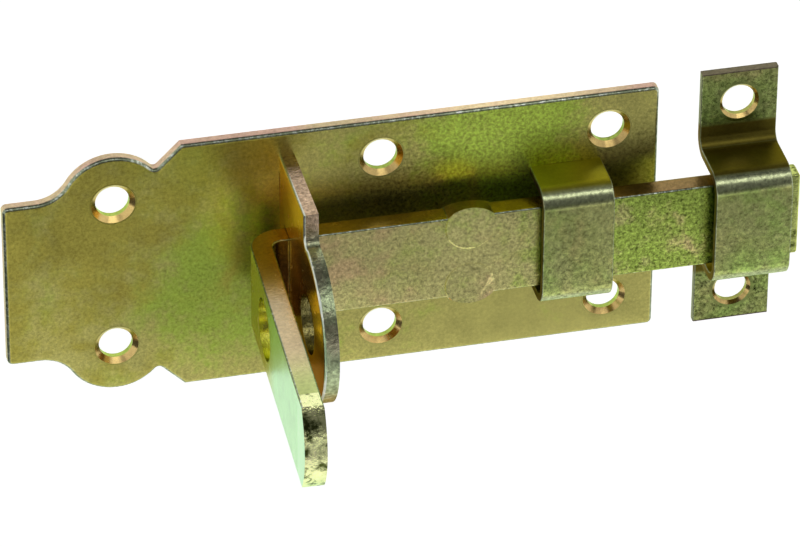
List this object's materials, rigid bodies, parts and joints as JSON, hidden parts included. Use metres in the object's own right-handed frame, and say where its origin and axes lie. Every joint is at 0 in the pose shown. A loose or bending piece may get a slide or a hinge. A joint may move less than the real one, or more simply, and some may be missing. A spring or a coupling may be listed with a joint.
{
  "type": "padlockable door bolt",
  "caption": "Flat sliding door bolt on a shaped screw-on plate, with a bent handle and a standing ear that take a padlock, a guide strap and a separate keeper.",
  "frame": {"origin": "middle of the base plate's back, on the mounting plane", "axes": "+X along the bolt towards its throw and the keeper, +Z across the plate, +Y into the door; the bolt's front and its handle face -Y"},
  "size_m": [0.1447, 0.0641, 0.0538],
  "materials": {
    "plate_zinc": "yellow-chromated zinc on stamped sheet, satin with olive and rosy patches",
    "bar_zinc": "yellow-chromated zinc on rolled bar, fine grain",
    "strap_zinc": "yellow-chromated zinc on bent strip, fine grain, slightly greener"
  },
  "bodies": {
    "fixed_parts": {"base_plate": "plate_zinc", "lock_ear": "plate_zinc", "guide_strap": "strap_zinc", "keeper": "strap_zinc"},
    "bolt": {"bolt_bar": "bar_zinc"}
  },
  "joints": [
    {"name": "bolt_slide", "type": "slide", "parent": "fixed_parts", "child": "bolt", "axis": [-1, 0, 0], "range_m": [-0.0023, 0.026]}
  ]
}
